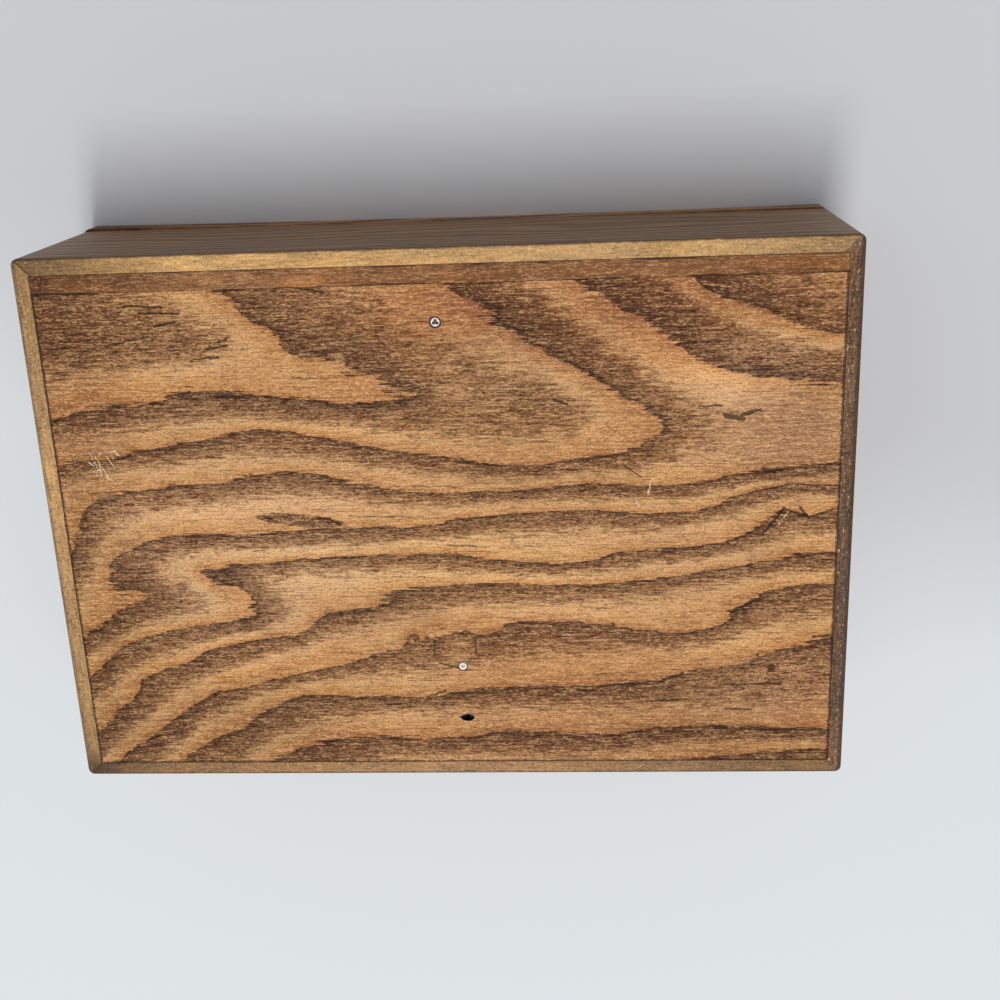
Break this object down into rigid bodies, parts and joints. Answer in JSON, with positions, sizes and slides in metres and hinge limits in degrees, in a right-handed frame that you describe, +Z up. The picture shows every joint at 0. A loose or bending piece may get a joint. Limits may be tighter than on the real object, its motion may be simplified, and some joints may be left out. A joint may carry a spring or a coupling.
{
  "type": "trinket box",
  "caption": "Low rectangular wooden box with mitred side boards, a flush bottom, a crosswise divider and a flat lid on small brass butt hinges.",
  "frame": {"origin": "centre of the underside of the side boards, in the plane that the box stands on", "axes": "+Z up, +X along the length to the right seen from the front, -Y out of the front wall, hinges at +Y"},
  "size_m": [0.203, 0.1451, 0.0575],
  "materials": {
    "side_wood": "satin stained softwood",
    "bottom_wood": "stained softwood with bold grain",
    "filler_wood": "stained softwood",
    "divider_wood": "plain sanded softwood",
    "lid_wood": "satin stained softwood",
    "hinge_brass": "dulled brass",
    "screw_brass": "brass",
    "nail_steel": "bare steel"
  },
  "bodies": {
    "box": {"back_board": "side_wood", "bottom_filler_strip": "filler_wood", "bottom_panel": "bottom_wood", "divider": "divider_wood", "front_board": "side_wood", "front_nail": "nail_steel", "left_board": "side_wood", "left_hinge_box_leaf": "hinge_brass", "left_hinge_box_screw_inner": "screw_brass", "left_hinge_box_screw_outer": "screw_brass", "left_hinge_pin": "hinge_brass", "rear_nail": "nail_steel", "right_board": "side_wood", "right_hinge_box_leaf": "hinge_brass", "right_hinge_box_screw_inner": "screw_brass", "right_hinge_box_screw_outer": "screw_brass", "right_hinge_pin": "hinge_brass"},
    "lid": {"left_hinge_lid_leaf": "hinge_brass", "left_hinge_lid_screw_inner": "screw_brass", "left_hinge_lid_screw_outer": "screw_brass", "lid_panel": "lid_wood", "right_hinge_lid_leaf": "hinge_brass", "right_hinge_lid_screw_inner": "screw_brass", "right_hinge_lid_screw_outer": "screw_brass"}
  },
  "joints": [
    {"name": "lid_hinge", "type": "hinge", "parent": "box", "child": "lid", "pos_m": [0, 0.0723, 0.0495], "axis": [-1, 0, 0], "range_deg": [0, 195]}
  ]
}
